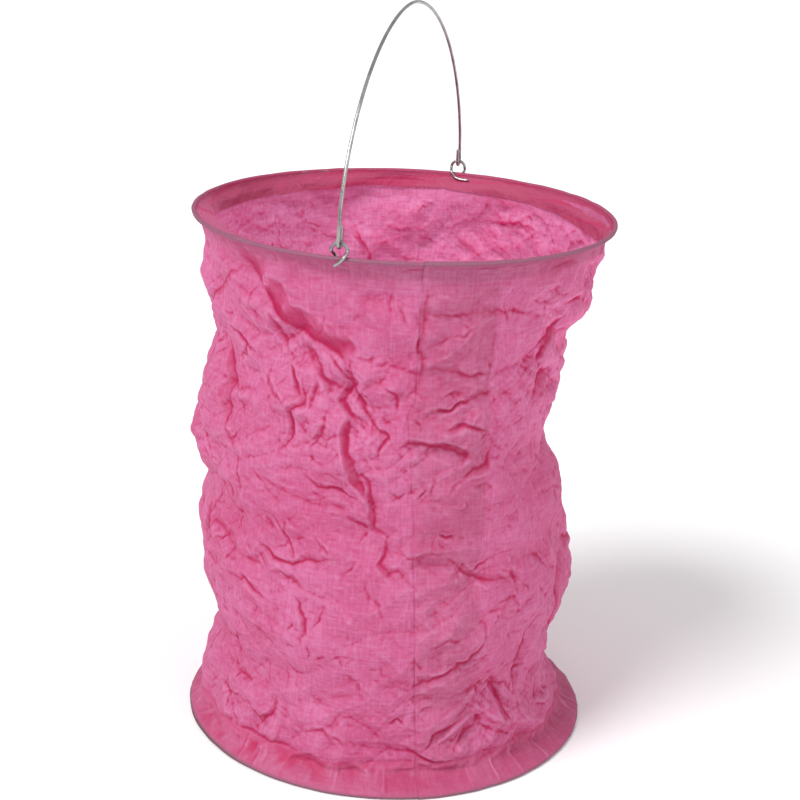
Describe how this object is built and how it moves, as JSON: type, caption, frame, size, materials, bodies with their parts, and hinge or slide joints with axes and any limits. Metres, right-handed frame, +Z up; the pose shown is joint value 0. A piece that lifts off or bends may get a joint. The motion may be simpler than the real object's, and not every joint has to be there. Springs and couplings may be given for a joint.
{
  "type": "accordion paper lantern",
  "caption": "Crinkled pink paper lantern: a paper sleeve between wire rings that folds flat, with a hinged wire bail and a tin candle cup inside.",
  "frame": {"origin": "centre of the foot, on the surface the lantern stands on", "axes": "+Z up along the lantern; the bail's hinge axis runs along Y, from the front eye at -Y to the back eye at +Y"},
  "size_m": [0.1624, 0.1656, 0.2864],
  "materials": {
    "sleeve_paper": "thin crinkled tissue, translucent, matt",
    "hem_paper": "the same paper in two layers, matt",
    "ring_wire": "dull galvanised wire",
    "bail_wire": "bright drawn steel wire",
    "tin": "bright tin plate"
  },
  "bodies": {
    "base": {"bottom_ring": "ring_wire", "bottom_hem": "hem_paper", "paper_sleeve": "sleeve_paper", "lower_cross_wire": "ring_wire", "upper_cross_wire": "ring_wire", "candle_cup": "tin"},
    "top_rim": {"top_ring": "ring_wire", "top_hem": "hem_paper", "front_eye": "bail_wire", "back_eye": "bail_wire"},
    "bail": {"bail_handle": "bail_wire"}
  },
  "joints": [
    {"name": "collapse", "type": "slide", "parent": "base", "child": "top_rim", "axis": [0, 0, 1], "range_m": [-0.17, 0], "deforming": ["paper_sleeve"]},
    {"name": "bail_swing", "type": "hinge", "parent": "top_rim", "child": "bail", "pos_m": [0, 0, 0.21132], "axis": [0, 1, 0], "range_deg": [-90, 90]}
  ]
}
